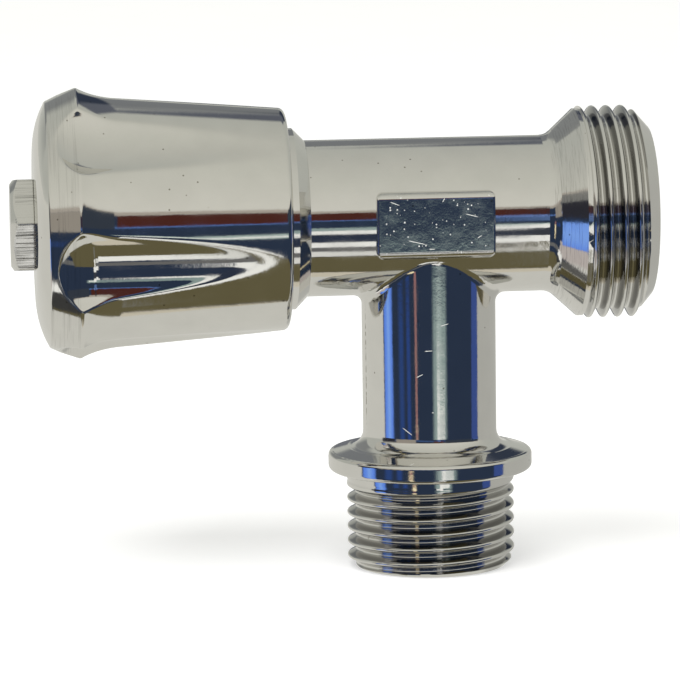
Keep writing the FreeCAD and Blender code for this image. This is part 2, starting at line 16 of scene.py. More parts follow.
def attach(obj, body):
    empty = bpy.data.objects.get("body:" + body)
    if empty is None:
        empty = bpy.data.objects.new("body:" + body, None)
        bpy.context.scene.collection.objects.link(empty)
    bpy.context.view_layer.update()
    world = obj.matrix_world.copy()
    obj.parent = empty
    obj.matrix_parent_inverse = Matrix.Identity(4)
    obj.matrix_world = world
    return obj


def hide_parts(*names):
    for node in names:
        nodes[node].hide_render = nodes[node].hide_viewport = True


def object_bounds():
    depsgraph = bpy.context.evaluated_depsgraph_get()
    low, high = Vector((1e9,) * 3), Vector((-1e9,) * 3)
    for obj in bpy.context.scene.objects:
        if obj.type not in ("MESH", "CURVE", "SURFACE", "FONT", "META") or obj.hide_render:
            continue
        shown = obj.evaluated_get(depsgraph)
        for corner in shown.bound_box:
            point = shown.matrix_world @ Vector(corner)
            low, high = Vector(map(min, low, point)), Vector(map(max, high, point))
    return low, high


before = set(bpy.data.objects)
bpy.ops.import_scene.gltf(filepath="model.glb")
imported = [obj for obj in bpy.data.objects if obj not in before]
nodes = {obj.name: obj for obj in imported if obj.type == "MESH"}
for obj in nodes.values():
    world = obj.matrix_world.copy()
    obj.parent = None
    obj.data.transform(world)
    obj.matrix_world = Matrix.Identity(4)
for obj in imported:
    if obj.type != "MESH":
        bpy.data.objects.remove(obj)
cad_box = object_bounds()
bpy.ops.object.select_all(action="DESELECT")
MM = 0.001
print("Loaded %d solids, %.1f mm long" % (len(nodes), (cad_box[1].x - cad_box[0].x) / MM))

# %% [markdown]
# ## Working as by hand
# Operators act on the active piece and on what is selected, so each step first names its piece. A turned
# shape starts as a chain of edges, drawn by extruding one corner from point to point, which is how a
# profile is drawn before a lathe cuts it.

# %% Small helpers
AXIS = 31.8
AXIS_Z = AXIS * MM
FINE = 0.0002 * MM
WELD = 0.001 * MM


def take(piece):
    """Make this piece the one that the next operators act on."""
    bpy.ops.object.select_all(action="DESELECT")
    piece.select_set(True)
    bpy.context.view_layer.objects.active = piece


def open_mesh(piece, mode="VERT"):
    take(piece)
    bpy.ops.object.mode_set(mode="EDIT")
    bpy.ops.mesh.select_mode(type=mode)


def close_mesh():
    bpy.ops.object.mode_set(mode="OBJECT")


def spots_of(piece):
    flat = np.empty(len(piece.data.vertices) * 3)
    piece.data.vertices.foreach_get("co", flat)
    return flat.reshape(-1, 3)


def put_spots(piece, spots):
    piece.data.vertices.foreach_set("co", spots.ravel())
    piece.data.update()


def draw_profile(name, points):
    """A chain of edges through points in the plane of the first and third axis."""
    corners = [Vector((across, 0, along)) * MM for across, along in points]
    bpy.ops.object.select_all(action="DESELECT")
    bpy.ops.mesh.primitive_plane_add(size=MM, location=corners[0])
    piece = bpy.context.object
    piece.name = name
    piece.data.name = name
    bpy.ops.object.transform_apply()
    open_mesh(piece)
    bpy.ops.mesh.select_all(action="SELECT")
    bpy.ops.mesh.merge(type="CENTER")
    for here, there in zip(corners, corners[1:]):
        bpy.ops.mesh.extrude_vertices_move(TRANSFORM_OT_translate={"value": there - here})
    close_mesh()
    return piece


def pick_rims(piece, test):
    """Open the mesh with those open rims selected whose corners pass a test on their place in mm."""
    open_mesh(piece, "EDGE")
    bpy.ops.mesh.select_all(action="DESELECT")
    bpy.ops.mesh.select_non_manifold(extend=False, use_wire=False, use_multi_face=False,
                                     use_non_contiguous=False, use_verts=False)
    close_mesh()
    spots = spots_of(piece) / MM
    rims = [edge.select and all(test(spots[corner]) for corner in edge.vertices) for edge in piece.data.edges]
    for part in (piece.data.vertices, piece.data.polygons):
        part.foreach_set("select", [False] * len(part))
    piece.data.edges.foreach_set("select", rims)
    open_mesh(piece, "EDGE")


def triangles(piece):
    return sum(len(face.vertices) - 2 for face in piece.data.polygons)


print("Barrel axis %.1f mm above the flange face" % AXIS)

# %% [markdown]
# ## The screw threads
# Both nipples carry the parallel pipe thread: 14 turns to the inch, flanks 55 degrees apart, crests and roots
# rounded. It could be faked with rings, but rings don't climb, and the eye sees it where a thread starts
# and ends. So one tooth is drawn and swept along a right-handed helix. Its points are then held inside the
# nipple's own outline, which is what the lathe leaves when it chamfers the end after cutting the thread.
# Each point also notes whether it lies on a flank, which later gets painted shade: a darker colour that stands
# in for the shade in the thread's grooves.

# %% One tooth, and a nipple from it
PITCH = 25.4 / 14
FLANK = math.radians(27.5)
TOOTH_ROUND = 0.137329 * PITCH
TOOTH_DEPTH = 0.640327 * PITCH
ROUND_SPREAD = TOOTH_ROUND * math.cos(FLANK)
TURN_STEPS = 132


def tooth_height(along):
    """Height over the root at a distance from the root's middle, up to half a pitch."""
    along = min(along, PITCH - along)
    if along < ROUND_SPREAD:
        return TOOTH_ROUND - math.sqrt(TOOTH_ROUND ** 2 - along ** 2)
    if along > PITCH / 2 - ROUND_SPREAD:
        return TOOTH_DEPTH - TOOTH_ROUND + math.sqrt(TOOTH_ROUND ** 2 - (PITCH / 2 - along) ** 2)
    rise = TOOTH_ROUND * (1 - math.sin(FLANK))
    return rise + (along - ROUND_SPREAD) / math.tan(FLANK)


def threaded_nipple(name, crest, length, chamfer_start, end_radius, bore, runout):
    """A nipple along the third axis from 0, open at its start, with a bore and a chamfered end.

    Between the two places of its run-out the thread fades into a plain cylinder.
    """
    shares = [0, 0.05, 0.095, ROUND_SPREAD / PITCH, 0.19, 0.25, 0.315, 0.5 - ROUND_SPREAD / PITCH,
              0.41, 0.455, 0.5]
    shares += [1 - share for share in reversed(shares[:-1])]
    root = crest - TOOTH_DEPTH
    piece = draw_profile(name, [(root + tooth_height(share * PITCH), (share - 2) * PITCH) for share in shares])
    sweep = piece.modifiers.new("helix", "SCREW")
    sweep.axis = "Z"
    sweep.angle = math.tau
    sweep.screw_offset = PITCH * MM
    sweep.iterations = math.ceil(length / PITCH) + 4
    sweep.steps = TURN_STEPS
    sweep.render_steps = TURN_STEPS
    bpy.ops.object.modifier_apply(modifier="helix")
    spots = spots_of(piece)
    radius = np.hypot(spots[:, 0], spots[:, 1])
    slope = (crest - end_radius) / (length - chamfer_start)
    outline = np.minimum(crest, crest - (spots[:, 2] / MM - chamfer_start) * slope) * MM
    fade = np.clip((spots[:, 2] / MM - runout[0]) / (runout[1] - runout[0]), 0, 1)
    fade = fade * fade * (3 - 2 * fade)
    cut = crest * MM - (crest * MM - radius) * fade
    shrink = np.minimum(cut, np.maximum(outline, bore * MM)) / radius
    spots[:, :2] *= shrink[:, None]
    put_spots(piece, spots)
    rise = (radius / MM - root) / TOOTH_DEPTH
    # This mask carries painted shade: the flanks are later coloured darker, as shade in the grooves.
    painted_flank_shade = np.clip((np.minimum(rise, 1 - rise) - 0.05) / 0.1, 0, 1) * fade * (cut <= outline)
    marks = piece.data.attributes.new("painted_flank_shade", "FLOAT", "POINT")
    marks.data.foreach_set("value", painted_flank_shade)
    open_mesh(piece, "EDGE")
    bpy.ops.mesh.select_all(action="SELECT")
    bpy.ops.mesh.remove_doubles(threshold=2 * WELD)
    bpy.ops.mesh.select_all(action="SELECT")
    bpy.ops.mesh.bisect(plane_co=(0, 0, 0), plane_no=(0, 0, 1), clear_inner=True, threshold=FINE)
    bpy.ops.mesh.select_all(action="SELECT")
    bpy.ops.mesh.bisect(plane_co=(0, 0, length * MM), plane_no=(0, 0, 1), clear_outer=True, threshold=FINE)
    close_mesh()
    pick_rims(piece, lambda spot: spot[2] > length - 0.01)
    bpy.ops.mesh.extrude_edges_move()
    bpy.ops.transform.resize(value=(bore / end_radius, bore / end_radius, 1),
                             center_override=(0, 0, length * MM))
    bpy.ops.mesh.extrude_edges_move(TRANSFORM_OT_translate={"value": (0, 0, -length * MM)})
    close_mesh()
    print("%s: %d turns of thread, %d triangles" % (name, round(length / PITCH), triangles(piece)))
    return piece


def place(piece, location, rotation):
    take(piece)
    piece.location = location
    piece.rotation_euler = rotation
    bpy.ops.object.transform_apply()


OUTLET_START = 19.0
outlet_nipple = threaded_nipple("outlet_nipple", crest=13.2205, length=8.6, chamfer_start=6.3,
                                end_radius=10.6, bore=7.6, runout=(-0.8, 0.9))
place(outlet_nipple, (OUTLET_START * MM, 0, AXIS_Z), (0, math.pi / 2, 0))
inlet_nipple = threaded_nipple("inlet_nipple", crest=10.4775, length=12.2, chamfer_start=11.1,
                               end_radius=9.3775, bore=5.5, runout=(0.9, 2.9))
place(inlet_nipple, (0, 0, 0), (math.pi, 0, 0))

# %% [markdown]
# ## The forged tee
# Barrel, stem, flange and panel are one forging, and the solid model already has its fillets. A copy of that
# mesh is welded, sawn off just short of both threads, and bridged to the new nipples, so that the tee
# stays one closed skin.

# %% Weld, saw and bridge
SAW = 0.02
forging = bpy.data.objects.new("valve_forging", nodes["valve_body"].data.copy())
forging.data.name = "valve_forging"
forging.data.materials.clear()
bpy.context.scene.collection.objects.link(forging)
open_mesh(forging, "EDGE")
bpy.ops.mesh.customdata_custom_splitnormals_clear()
bpy.ops.mesh.select_all(action="SELECT")
bpy.ops.mesh.remove_doubles(threshold=WELD)
bpy.ops.mesh.select_all(action="SELECT")
bpy.ops.mesh.bisect(plane_co=((OUTLET_START - SAW) * MM, 0, 0), plane_no=(1, 0, 0), clear_outer=True,
                    threshold=FINE)
bpy.ops.mesh.select_all(action="SELECT")
bpy.ops.mesh.bisect(plane_co=(0, 0, -SAW * MM), plane_no=(0, 0, 1), clear_inner=True, threshold=FINE)
close_mesh()
take(forging)
outlet_nipple.select_set(True)
inlet_nipple.select_set(True)
bpy.ops.object.join()


def bridge(piece, test):
    """Join two open rims whose corners pass a test on their place."""
    pick_rims(piece, test)
    bpy.ops.mesh.bridge_edge_loops()
    close_mesh()


NEAR = 0.06
bridge(forging, lambda spot: abs(spot[0] - OUTLET_START) < NEAR and math.hypot(spot[1], spot[2] - AXIS) > 9)
bridge(forging, lambda spot: abs(spot[0] - OUTLET_START) < NEAR and math.hypot(spot[1], spot[2] - AXIS) < 9)
bridge(forging, lambda spot: abs(spot[2]) < NEAR and math.hypot(spot[0], spot[1]) > 7)
bridge(forging, lambda spot: abs(spot[2]) < NEAR and math.hypot(spot[0], spot[1]) < 7)
open_mesh(forging)
bpy.ops.mesh.select_all(action="SELECT")
bpy.ops.mesh.normals_make_consistent(inside=False)
bpy.ops.mesh.select_all(action="DESELECT")
bpy.ops.mesh.select_non_manifold(extend=False)
close_mesh()
loose = sum(edge.select for edge in forging.data.edges)
print("Tee: %d triangles, %d edges left open" % (triangles(forging), loose))

# %% [markdown]
# ### Normals from the solid
# Plated metal shows every ripple, and normals worked out from the triangles ripple at each fillet. The solid
# knows the true ones, so they go back onto every welded corner that lies on one of its points.

# %% Put the exact normals back
SAME_WAY = 0.8
take(forging)
bpy.ops.object.shade_smooth_by_angle(angle=math.radians(32))


def place_key(spot):
    return tuple(round(value / MM, 3) for value in spot)


def lend_normals(piece, solid):
    """Copy the solid's corner normals to every corner that lies on one of its points."""
    exact = {}
    for corner in solid.data.loops:
        key = place_key(solid.data.vertices[corner.vertex_index].co)
        exact.setdefault(key, []).append(solid.data.corner_normals[corner.index].vector.copy())
    normals = [normal.vector.copy() for normal in piece.data.corner_normals]
    lent = 0
    for face in piece.data.polygons:
        for corner in face.loop_indices:
            spot = piece.data.vertices[piece.data.loops[corner].vertex_index].co
            choices = exact.get(place_key(spot))
            if not choices:
                continue
            best = max(choices, key=face.normal.dot)
            if best.dot(face.normal) > SAME_WAY:
                normals[corner] = best
                lent += 1
    piece.data.normals_split_custom_set(normals)
    return lent


print("Exact normals on %d corners" % lend_normals(forging, nodes["valve_body"]))
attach(forging, "valve")
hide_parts("valve_body")

# %% [markdown]
# ## The handle
# The handle is a hollow casting with a crowned end, a bevel up to a ridge, a waist and a tapered skirt. It
# could be piled up from cones, but then every change of slope would be a hard ring. One closed outline, with
# its corners rounded as polishing rounds them, holds the outside, the cavity, the hub and the square hole.

# %% Profile of the handle
END_AT = -48.9
SKIRT_AT = -17.7
CAVITY_R = 11.85
CAVITY_AT = -44.5
SHOULDER_AT = -38.5
SQUARE_END_AT = -46.6
SQUARE_HALF = 3.05
HOLE_R = 2.1
CORNER = (-47.3, 15.2)
RIDGE = (-43.5, 17.0)
WAIST = (-38.5, 15.5)
SAG_R = 12.0
CROWN_FLAT_R = 9.0
CROWN_WIDTH = 6.2
CROWN_RISE = 1.6
TAPER_MARK = (-24.0, 14.2675)
SKIRT_EDGE_R = 13.0
SKIRT_ROUND = 0.8
HUB_R = 6.5
HUB_STEP_R = 5.0


def spaced(start, end, gap):
    """Points from start up to, but without, end."""
    count = max(1, math.ceil(math.dist(start, end) / gap))
    return [tuple(a + (b - a) * step / count for a, b in zip(start, end)) for step in range(count)]


def swung(centre, radius, first, last, count):
    """Points on an arc, angles in degrees from the first axis towards the second."""
    angles = [math.radians(first + (last - first) * step / count) for step in range(count + 1)]
    return [(centre[0] + radius * math.cos(angle), centre[1] + radius * math.sin(angle)) for angle in angles]


def softened(before, corner, after, radius, count=7):
    """A rounded corner between two straight runs."""
    first = np.subtract(before, corner)
    second = np.subtract(after, corner)
    first /= np.linalg.norm(first)
    second /= np.linalg.norm(second)
    half = math.acos(float(first @ second)) / 2
    centre = np.array(corner) + (first + second) / np.linalg.norm(first + second) * radius / math.sin(half)
    starts = np.array(corner) + first * radius / math.tan(half)
    ends = np.array(corner) + second * radius / math.tan(half)
    points = []
    for step in range(count + 1):
        spot = starts + (ends - starts) * step / count - centre
        points.append(tuple(centre + spot / np.linalg.norm(spot) * radius))
    return points


def handle_outline():
    """Closed outline as (place along the axis, radius), from the hole round the outside to the hub."""
    crown_r = (CROWN_WIDTH ** 2 + CROWN_RISE ** 2) / (2 * CROWN_RISE)
    crown = swung((END_AT + crown_r, CROWN_FLAT_R), crown_r, 180, 180 - 28.0, 14)
    corner = softened(crown[-3], CORNER, RIDGE, 0.5)
    chord = np.subtract(WAIST, RIDGE)
    half = np.linalg.norm(chord) / 2
    across = np.array([-chord[1], chord[0]]) / (2 * half)
    centre = np.add(WAIST, RIDGE) / 2 + across * math.sqrt(SAG_R ** 2 - half ** 2)
    first, last = (math.degrees(math.atan2(*np.subtract(spot, centre)[::-1])) for spot in (RIDGE, WAIST))
    sag = swung(centre, SAG_R, first, last, 24)
    ridge = softened(CORNER, RIDGE, sag[5], 0.45)
    waist = [spot for spot in sag if spot[0] > ridge[-1][0] + 0.12]
    skirt = swung((SKIRT_AT - SKIRT_ROUND, SKIRT_EDGE_R), SKIRT_ROUND, 86, 0, 8)
    outside = spaced((END_AT, HOLE_R), crown[0], 1.4)
    outside += crown[:-2]
    outside += corner
    outside += spaced(corner[-1], ridge[0], 0.13)[1:]
    outside += ridge
    outside += waist
    outside += spaced(waist[-1], TAPER_MARK, 0.3)[1:]
    outside += spaced(TAPER_MARK, skirt[0], 0.14)
    outside += skirt
    inside = [(SKIRT_AT, CAVITY_R + 0.15), (SKIRT_AT - 0.15, CAVITY_R)]
    inside += spaced((SKIRT_AT - 4, CAVITY_R), (CAVITY_AT, CAVITY_R), 4)
    inside += [(CAVITY_AT, CAVITY_R), (CAVITY_AT, HUB_R), (SHOULDER_AT, HUB_R), (SHOULDER_AT, HUB_STEP_R)]
    inside += [(SHOULDER_AT, SQUARE_HALF), (SQUARE_END_AT, SQUARE_HALF), (SQUARE_END_AT, HOLE_R)]
    inside += [(END_AT, HOLE_R)]
    return outside + inside


outline = handle_outline()
print("Handle outline of %d points" % len(outline))

# %% [markdown]
# ### Six flutes
# A round-nosed cutter scoops the casting six times, running along it and fading out towards the skirt. Cutting
# the scoops with a boolean would leave knife edges, but polishing and plating round them. So the profile is
# spun, its columns are drawn towards the edges of the scoops, where the shape turns most, and each point is
# pressed in with a soft blend between skin and scoop.

# %% Spin it and press the flutes in
COLUMNS = 288
FLUTES = 6
PHASE = math.radians(44.5)
CUTTER_R = 8.0
CUTTER_AXIS_R = 22.0
CUTTER_END_AT = -41.4
EDGE_BLEND = 0.34
COLUMN_PULL = 1.7
LEAST_RIM = math.radians(3)

handle = draw_profile("handle_casting", [(radius, along) for along, radius in outline])
open_mesh(handle)
bpy.ops.mesh.select_all(action="SELECT")
bpy.ops.mesh.spin(steps=COLUMNS, angle=math.tau, center=(0, 0, 0), axis=(0, 0, 1))
bpy.ops.mesh.select_all(action="SELECT")
bpy.ops.mesh.remove_doubles(threshold=WELD)
close_mesh()


def soft_least(first, second, blend):
    """The lesser of two heights, rounded where they cross."""
    mix = np.maximum(blend - np.abs(first - second), 0) / blend
    return np.minimum(first, second) - mix ** 2 * blend / 4


def press_flutes(piece):
    spots = spots_of(piece) / MM
    along = spots[:, 2]
    radius = np.hypot(spots[:, 0], spots[:, 1])
    angle = np.arctan2(spots[:, 1], spots[:, 0])
    sector = math.tau / FLUTES
    middle = np.round(angle / sector) * sector
    off = angle - middle
    nose = np.clip(CUTTER_END_AT - along, 0, CUTTER_R)
    reach = np.sqrt(CUTTER_R ** 2 - nose ** 2)
    rim_cos = (CUTTER_AXIS_R ** 2 + radius ** 2 - reach ** 2) / (2 * CUTTER_AXIS_R * radius)
    rim = np.maximum(np.arccos(np.clip(rim_cos, -1, 1)), LEAST_RIM)
    share = np.abs(off) / (sector / 2)
    inner = rim * (1 - np.clip(1 - 2 * share, 0, 1) ** COLUMN_PULL)
    outer = rim + (sector / 2 - rim) * np.clip(2 * share - 1, 0, 1) ** COLUMN_PULL
    drawn = np.sign(off) * np.where(share < 0.5, inner, outer)
    skin = (radius > CAVITY_R + 0.3) | (along < SQUARE_END_AT - 0.2)
    fade = np.clip((radius - 6) / 8, 0, 1)
    fade = np.where(skin, fade * fade * (3 - 2 * fade), 0)
    off = off + (drawn - off) * fade
    across = CUTTER_AXIS_R * np.sin(off)
    depth = np.sqrt(np.maximum(reach ** 2 - across ** 2, 0))
    floor_r = np.where(np.abs(across) < reach, CUTTER_AXIS_R * np.cos(off) - depth, 1e3)
    pressed = np.where(skin, soft_least(radius, floor_r, EDGE_BLEND), radius)
    square = (np.abs(radius - SQUARE_HALF) < 0.01) & (along > SQUARE_END_AT - 0.01)
    turned = middle + off
    flat = np.maximum(np.abs(np.cos(turned)), np.abs(np.sin(turned)))
    pressed = np.where(square, SQUARE_HALF / flat, pressed)
    spots[:, 0] = pressed * np.cos(turned)
    spots[:, 1] = pressed * np.sin(turned)
    put_spots(piece, spots * MM)
    return pressed[skin & (np.abs(along + 30) < 5)].min()


print("Deepest flute leaves a radius of %.2f mm" % press_flutes(handle))

# %% Lay the handle on the barrel axis
spots = spots_of(handle)
laid = np.stack([spots[:, 2],
                 spots[:, 1] * math.cos(PHASE) - spots[:, 0] * math.sin(PHASE),
                 spots[:, 0] * math.cos(PHASE) + spots[:, 1] * math.sin(PHASE) + AXIS_Z], axis=1)
put_spots(handle, laid)
open_mesh(handle)
bpy.ops.mesh.select_all(action="SELECT")
bpy.ops.mesh.normals_make_consistent(inside=False)
close_mesh()
bpy.ops.object.shade_smooth_by_angle(angle=math.radians(38))
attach(handle, "handle_set")
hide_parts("handle")
print("Handle: %d triangles" % triangles(handle))

# %% [markdown]
# ## The hexagon screw
# The screw that holds the handle is cut from hexagon bar. Its facets are flat and its corners are crisp, with a
# thin worn line of light along them, and its end is turned to a shallow chamfer. A six-sided cylinder is the
# right start: its edges get a narrow bevel, a turned cone then trims the corners, and weighted normals keep
# the facets flat to the eye.

# %% Bar, bevel and chamfer
SCREW_FLATS = 11.1
SCREW_HEIGHT = 2.9
SCREW_PHASE = math.radians(51.3)
TRIM_R = 9
TRIM_SLOPE = 0.75
corner_r = SCREW_FLATS / 2 / math.cos(math.pi / 6)
top_r = SCREW_FLATS / 2 - 0.45
bpy.ops.object.select_all(action="DESELECT")
bpy.ops.mesh.primitive_cylinder_add(vertices=6, radius=corner_r * MM, depth=SCREW_HEIGHT * MM)
screw = bpy.context.object
screw.name = "hexagon_screw"
screw.data.name = "hexagon_screw"
take(screw)
screw.rotation_euler = (0, 0, math.pi / 6)
bpy.ops.object.transform_apply()
worn = screw.modifiers.new("worn corners", "BEVEL")
worn.width = 0.12 * MM
worn.segments = 3
worn.limit_method = "ANGLE"
bpy.ops.object.modifier_apply(modifier="worn corners")
bpy.ops.object.select_all(action="DESELECT")
bpy.ops.mesh.primitive_cylinder_add(vertices=96, radius=TRIM_R * MM, depth=6 * MM, location=(0, 0, 0))
trimmer = bpy.context.object
open_mesh(trimmer, "FACE")
bpy.ops.mesh.select_all(action="DESELECT")
close_mesh()
for face in trimmer.data.polygons:
    face.select = face.normal.z > 0.9
open_mesh(trimmer, "FACE")
bpy.ops.transform.translate(value=(0, 0, -(3 - SCREW_HEIGHT / 2 - 0.001) * MM))
bpy.ops.transform.resize(value=(top_r / TRIM_R, top_r / TRIM_R, 1),
                         center_override=(0, 0, SCREW_HEIGHT / 2 * MM))
close_mesh()
spots = spots_of(trimmer)
low = spots[:, 2] < 0
spots[low, 2] = (SCREW_HEIGHT / 2 - (TRIM_R - top_r) * TRIM_SLOPE) * MM
put_spots(trimmer, spots)
take(screw)
cut = screw.modifiers.new("chamfer", "BOOLEAN")
cut.operation = "INTERSECT"
cut.object = trimmer
cut.solver = "EXACT"
bpy.ops.object.modifier_apply(modifier="chamfer")
bpy.data.objects.remove(trimmer)
print("Screw: %d triangles, %.2f mm across corners" % (triangles(screw), np.ptp(spots_of(screw)[:, 1]) / MM))

# %% Lay the screw on the barrel axis
bpy.ops.object.select_all(action="DESELECT")
bpy.ops.mesh.primitive_cylinder_add(vertices=48, radius=2 * MM, depth=8.4 * MM,
                                    location=(0, 0, (-SCREW_HEIGHT / 2 - 3.8) * MM))
shank = bpy.context.object
bpy.ops.object.transform_apply()
take(screw)
weld = screw.modifiers.new("shank", "BOOLEAN")
weld.operation = "UNION"
weld.object = shank
weld.solver = "EXACT"
bpy.ops.object.modifier_apply(modifier="shank")
bpy.data.objects.remove(shank)
spots = spots_of(screw)
corner_way = np.array([0, math.cos(SCREW_PHASE), math.sin(SCREW_PHASE)])
side_way = np.array([0, math.sin(SCREW_PHASE), -math.cos(SCREW_PHASE)])
laid = np.outer(spots[:, 0], corner_way) + np.outer(spots[:, 1], side_way)
laid[:, 0] = END_AT * MM - (spots[:, 2] + SCREW_HEIGHT / 2 * MM)
laid[:, 2] += AXIS_Z
put_spots(screw, laid)
take(screw)
bpy.ops.object.shade_smooth_by_angle(angle=math.radians(28))
flat = screw.modifiers.new("flat facets", "WEIGHTED_NORMAL")
flat.keep_sharp = True
flat.weight = 100
bpy.ops.object.modifier_apply(modifier="flat facets")
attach(screw, "handle_set")
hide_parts("handle_screw")
print("Screw head ends at %.1f mm" % (laid[:, 0].min() / MM))

# %% [markdown]
# ## Chrome plate
# Chrome has almost no colour of its own. What the eye reads is the room in it, broken by small faults. A mirror
# with one roughness looks like a drawing, and painted pictures of faults would blur close up. So the plate is
# built from noise: its haze wanders, its skin has a slight orange peel, and small dark pits are left by the
# casting. All of it is measured in the piece's own metres, so it stays put when the handle turns.

# %% Node helpers
def new_material(name):
    material = bpy.data.materials.new(name)
    material.use_nodes = True
    return material, material.node_tree, material.node_tree.nodes["Principled BSDF"]


def add(tree, kind, settings=None, **inputs):
    """A node with settings, whose inputs are numbers, colours or other nodes' outputs."""
    item = tree.nodes.new(kind)
    for name, value in (settings or {}).items():
        setattr(item, name, value)
    for name, value in inputs.items():
        key = int(name[1:]) if name[0] == "i" and name[1:].isdigit() else name.replace("_", " ")
        socket = item.inputs[key]
        if isinstance(value, bpy.types.NodeSocket):
            tree.links.new(value, socket)
        else:
            socket.default_value = value
    return item


def ramp(tree, factor, stops):
    """A colour that runs through stops, each a place and a colour or a grey."""
    item = add(tree, "ShaderNodeValToRGB", Fac=factor)
    while len(item.color_ramp.elements) < len(stops):
        item.color_ramp.elements.new(0.5)
    for element, (place_at, colour) in zip(item.color_ramp.elements, stops):
        element.position = place_at
        element.color = (*colour, 1) if isinstance(colour, tuple) else (colour, colour, colour, 1)
    return item.outputs["Color"]


def math_of(tree, operation, first, second=0.0):
    item = add(tree, "ShaderNodeMath", {"operation": operation}, i0=first, i1=second)
    return item.outputs[0]


def measured(tree, value, low, high, to_low=0.0, to_high=1.0, kind="SMOOTHSTEP"):
    """A value carried from one range to another, and held at its ends."""
    item = add(tree, "ShaderNodeMapRange", {"interpolation_type": kind}, Value=value)
    for key, number in (("From Min", low), ("From Max", high), ("To Min", to_low), ("To Max", to_high)):
        item.inputs[key].default_value = number
    return item.outputs[0]


def noise(tree, spots, scale, detail=3.0, roughness=0.5):
    item = add(tree, "ShaderNodeTexNoise", Vector=spots, Scale=scale, Detail=detail, Roughness=roughness)
    return item.outputs["Fac"]


def stretched(tree, spots, scale):
    item = add(tree, "ShaderNodeMapping", Vector=spots)
    item.inputs["Scale"].default_value = scale
    return item.outputs["Vector"]


def bump(tree, height, depth, under=None):
    """A normal bent by a height times a depth in metres, on top of an earlier bump."""
    item = add(tree, "ShaderNodeBump", Height=height, Distance=depth, Strength=1.0)
    if under is not None:
        tree.links.new(under, item.inputs["Normal"])
    return item.outputs["Normal"]


print("Finishes are drawn at the scale of the real part")

# %% [markdown]
# ### Faults in their places
# Some faults belong to one spot: tool strokes on the flare, the bevel and the screw, the panel with its rims
# polished round, pale specks and scratches where the plate no longer mirrors, and a stain down the stem. They
# could be painted on an unwrapped map, but a box in the piece's own space needs no unwrapping. A mask is 1
# inside its box and fades at its sides.

# %% Where a fault lies
PANEL_BOX = (7.2, 0.4, 5)


def inside_box(tree, spots, middle, half, turn=(0, 0, 0), soft=0.3):
    """1 inside a box given by its middle and half sizes in mm, fading to 0 at its sides."""
    local = add(tree, "ShaderNodeMapping", {"vector_type": "TEXTURE"}, Vector=spots)
    local.inputs["Location"].default_value = Vector(middle) * MM
    local.inputs["Rotation"].default_value = turn
    local.inputs["Scale"].default_value = Vector(half) * MM
    sides = add(tree, "ShaderNodeVectorMath", {"operation": "ABSOLUTE"}, i0=local.outputs["Vector"])
    along, across, up = add(tree, "ShaderNodeSeparateXYZ", Vector=sides.outputs[0]).outputs
    far = math_of(tree, "MAXIMUM", along, math_of(tree, "MAXIMUM", across, up))
    return measured(tree, far, 1 - soft, 1.0, 1.0, 0.0)


def tinted(tree, under, colour, mask):
    """A colour laid over what is there, where the mask is 1."""
    item = add(tree, "ShaderNodeMix", {"data_type": "RGBA"}, Factor=mask)
    tree.links.new(under, item.inputs[6])
    item.inputs[7].default_value = (*colour, 1)
    return item.outputs[2]


def times(tree, first, second):
    return math_of(tree, "MULTIPLY", first, second)


def either(tree, first, second):
    return second if first is None else math_of(tree, "MAXIMUM", first, second)


def outside(tree, spots, radius):
    """1 further from the barrel axis than a radius in mm."""
    local = add(tree, "ShaderNodeVectorMath", {"operation": "SUBTRACT"}, i0=spots, i1=(0, 0, AXIS_Z))
    flat = add(tree, "ShaderNodeVectorMath", {"operation": "MULTIPLY"}, i0=local.outputs[0], i1=(0, 1, 1))
    far = add(tree, "ShaderNodeVectorMath", {"operation": "LENGTH"}, i0=flat.outputs[0])
    return measured(tree, far.outputs["Value"], (radius - 0.3) * MM, radius * MM)


def rolled_rim(tree, spots, middle, half, radius):
    """Height in metres of a face whose upper and lower rims are polished round."""
    local = add(tree, "ShaderNodeVectorMath", {"operation": "SUBTRACT"}, i0=spots, i1=Vector(middle) * MM)
    up = add(tree, "ShaderNodeSeparateXYZ", Vector=local.outputs[0]).outputs["Z"]
    past = math_of(tree, "SUBTRACT", math_of(tree, "ABSOLUTE", up), (half - radius) * MM)
    past = math_of(tree, "MINIMUM", math_of(tree, "MAXIMUM", past, 0.0), 0.95 * radius * MM)
    square = math_of(tree, "SUBTRACT", (radius * MM) ** 2, times(tree, past, past))
    sunk = math_of(tree, "SUBTRACT", math_of(tree, "SQRT", square), radius * MM)
    return times(tree, sunk, inside_box(tree, spots, middle, PANEL_BOX, soft=0.01))


print("Panel rims lie in a box %.1f mm long and %.1f mm high" % (2 * PANEL_BOX[0], 2 * PANEL_BOX[2]))

# %% The plate itself
CLOUD_SCALE = 260
PIT_SCALE = 470
PEEL_SCALE = 700
GRAIN_SCALE = 4200
# FLANK_SHADE is painted shade: the share of the plate's colour left on thread flanks.
FLANK_SHADE = 0.5
STROKE_SHADE = 0.42
PIT_COLOUR = (0.16, 0.14, 0.10)
STAIN_COLOUR = (0.13, 0.12, 0.06)
BARED_COLOUR = (0.95, 0.96, 0.95)


def shaded(colour, share):
    return tuple(part * share for part in colour)


